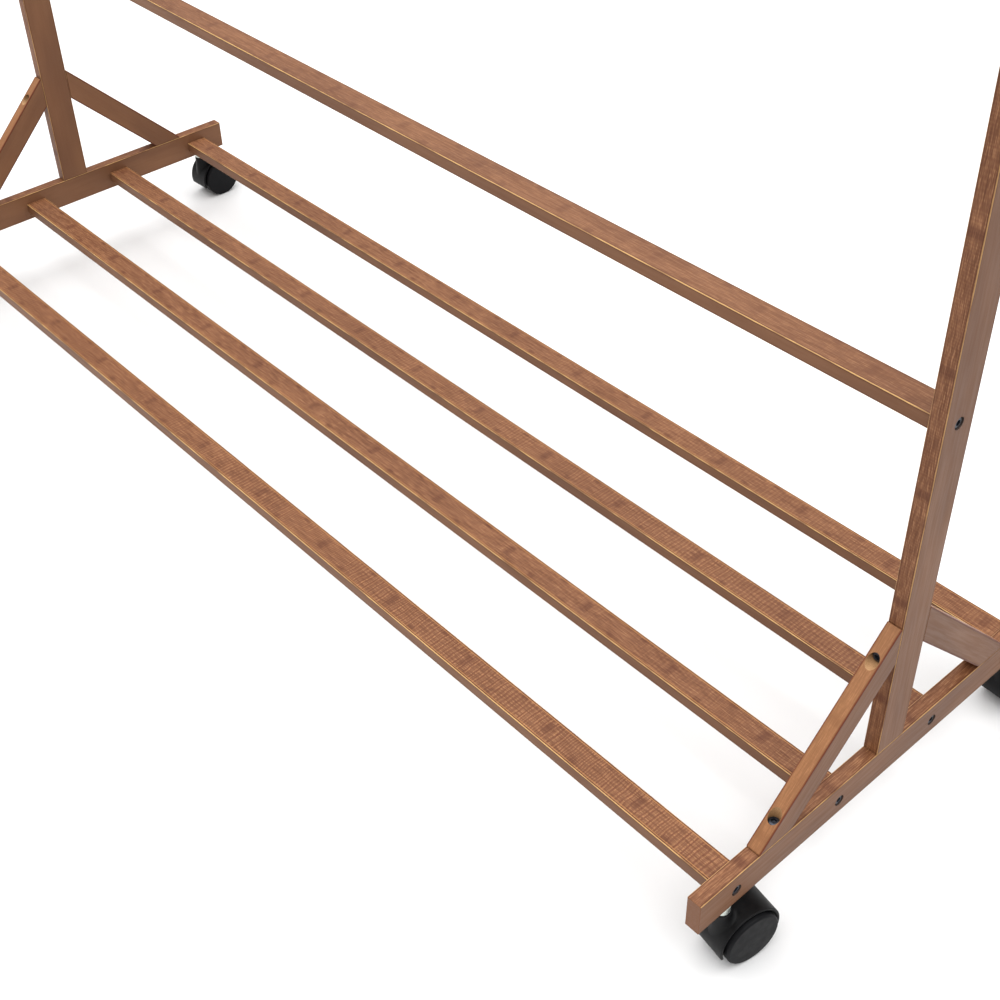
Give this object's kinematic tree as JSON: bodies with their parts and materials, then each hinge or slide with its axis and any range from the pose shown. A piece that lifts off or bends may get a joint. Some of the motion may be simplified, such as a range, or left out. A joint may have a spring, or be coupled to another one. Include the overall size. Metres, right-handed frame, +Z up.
{
  "type": "rolling clothes rack",
  "caption": "Free-standing rolling clothes rack: two braced bamboo end frames joined by a slatted shelf, a mid rail and a hanging rod, on swivelling twin-wheel casters.",
  "frame": {"origin": "on the floor, below the middle of the rack: midway between the end frames and between the ends of the foot rails", "axes": "+Z up, +X along the slats towards the right end frame, +Y from the front to the rear"},
  "size_m": [1.5073, 0.5167, 1.6],
  "materials": {
    "bamboo": "satin stained bamboo",
    "black_screw": "black oxide steel",
    "zinc_steel": "bright zinc plate",
    "brass_insert": "yellow zinc plate",
    "black_plastic": "satin moulded nylon",
    "wheel_plastic": "satin moulded nylon"
  },
  "bodies": {
    "frame": {"foot_rail_left": "bamboo", "foot_rail_right": "bamboo", "upright_left": "bamboo", "upright_right": "bamboo", "brace_left_front": "bamboo", "brace_left_rear": "bamboo", "brace_right_front": "bamboo", "brace_right_rear": "bamboo", "slat_front": "bamboo", "slat_mid_front": "bamboo", "slat_mid_rear": "bamboo", "slat_rear": "bamboo", "mid_rail": "bamboo", "hanging_rod": "bamboo", "slat_screw_front_left": "black_screw", "slat_screw_mid_front_left": "black_screw", "slat_screw_mid_rear_left": "black_screw", "slat_screw_rear_left": "black_screw", "slat_screw_front_right": "black_screw", "slat_screw_mid_front_right": "black_screw", "slat_screw_mid_rear_right": "black_screw", "slat_screw_rear_right": "black_screw", "mid_rail_screw_left": "black_screw", "mid_rail_screw_right": "black_screw", "rod_screw_left": "black_screw", "rod_screw_right": "black_screw", "brace_foot_screw_left_front": "black_screw", "brace_foot_screw_left_rear": "black_screw", "brace_foot_screw_right_front": "black_screw", "brace_foot_screw_right_rear": "black_screw", "brace_post_screw_left_front": "black_screw", "brace_post_screw_left_rear": "black_screw", "brace_post_screw_right_front": "black_screw", "brace_post_screw_right_rear": "black_screw", "base_screw_left": "black_screw", "base_screw_right": "black_screw", "threaded_insert_front_left": "brass_insert", "threaded_insert_front_right": "brass_insert", "threaded_insert_rear_left": "brass_insert", "threaded_insert_rear_right": "brass_insert", "caster_stem_front_left": "zinc_steel", "caster_stem_front_right": "zinc_steel", "caster_stem_rear_left": "zinc_steel", "caster_stem_rear_right": "zinc_steel"},
    "caster_front_left": {"caster_hood_front_left": "black_plastic", "caster_axle_front_left": "zinc_steel"},
    "wheel_left_front_left": {"wheel_left_front_left": "wheel_plastic"},
    "wheel_right_front_left": {"wheel_right_front_left": "wheel_plastic"},
    "caster_front_right": {"caster_hood_front_right": "black_plastic", "caster_axle_front_right": "zinc_steel"},
    "wheel_left_front_right": {"wheel_left_front_right": "wheel_plastic"},
    "wheel_right_front_right": {"wheel_right_front_right": "wheel_plastic"},
    "caster_rear_left": {"caster_hood_rear_left": "black_plastic", "caster_axle_rear_left": "zinc_steel"},
    "wheel_left_rear_left": {"wheel_left_rear_left": "wheel_plastic"},
    "wheel_right_rear_left": {"wheel_right_rear_left": "wheel_plastic"},
    "caster_rear_right": {"caster_hood_rear_right": "black_plastic", "caster_axle_rear_right": "zinc_steel"},
    "wheel_left_rear_right": {"wheel_left_rear_right": "wheel_plastic"},
    "wheel_right_rear_right": {"wheel_right_rear_right": "wheel_plastic"}
  },
  "joints": [
    {"name": "swivel_front_left", "type": "hinge", "parent": "frame", "child": "caster_front_left", "pos_m": [-0.7275, -0.212, 0.06], "axis": [0, 0, 1], "continuous": true},
    {"name": "spin_left_front_left", "type": "hinge", "parent": "caster_front_left", "child": "wheel_left_front_left", "pos_m": [-0.73933, -0.18914, 0.028], "axis": [0.9945, -0.1045, 0], "continuous": true},
    {"name": "spin_right_front_left", "type": "hinge", "parent": "caster_front_left", "child": "wheel_right_front_left", "pos_m": [-0.71118, -0.1921, 0.028], "axis": [0.9945, -0.1045, 0], "continuous": true},
    {"name": "swivel_front_right", "type": "hinge", "parent": "frame", "child": "caster_front_right", "pos_m": [0.7275, -0.212, 0.06], "axis": [0, 0, 1], "continuous": true},
    {"name": "spin_left_front_right", "type": "hinge", "parent": "caster_front_right", "child": "wheel_left_front_right", "pos_m": [0.71709, -0.18846, 0.028], "axis": [0.9863, -0.165, 0], "continuous": true},
    {"name": "spin_right_front_right", "type": "hinge", "parent": "caster_front_right", "child": "wheel_right_front_right", "pos_m": [0.745, -0.19313, 0.028], "axis": [0.9863, -0.165, 0], "continuous": true},
    {"name": "swivel_rear_left", "type": "hinge", "parent": "frame", "child": "caster_rear_left", "pos_m": [-0.7275, 0.212, 0.06], "axis": [0, 0, 1], "continuous": true},
    {"name": "spin_left_rear_left", "type": "hinge", "parent": "caster_rear_left", "child": "wheel_left_rear_left", "pos_m": [-0.74239, 0.23299, 0.028], "axis": [0.9994, 0.0349, 0], "continuous": true},
    {"name": "spin_right_rear_left", "type": "hinge", "parent": "caster_rear_left", "child": "wheel_right_rear_left", "pos_m": [-0.71411, 0.23398, 0.028], "axis": [0.9994, 0.0349, 0], "continuous": true},
    {"name": "swivel_rear_right", "type": "hinge", "parent": "frame", "child": "caster_rear_right", "pos_m": [0.7275, 0.212, 0.06], "axis": [0, 0, 1], "continuous": true},
    {"name": "spin_left_rear_right", "type": "hinge", "parent": "caster_rear_right", "child": "wheel_left_rear_right", "pos_m": [0.71449, 0.23421, 0.028], "axis": [0.9986, -0.0523, 0], "continuous": true},
    {"name": "spin_right_rear_right", "type": "hinge", "parent": "caster_rear_right", "child": "wheel_right_rear_right", "pos_m": [0.74276, 0.23273, 0.028], "axis": [0.9986, -0.0523, 0], "continuous": true}
  ]
}
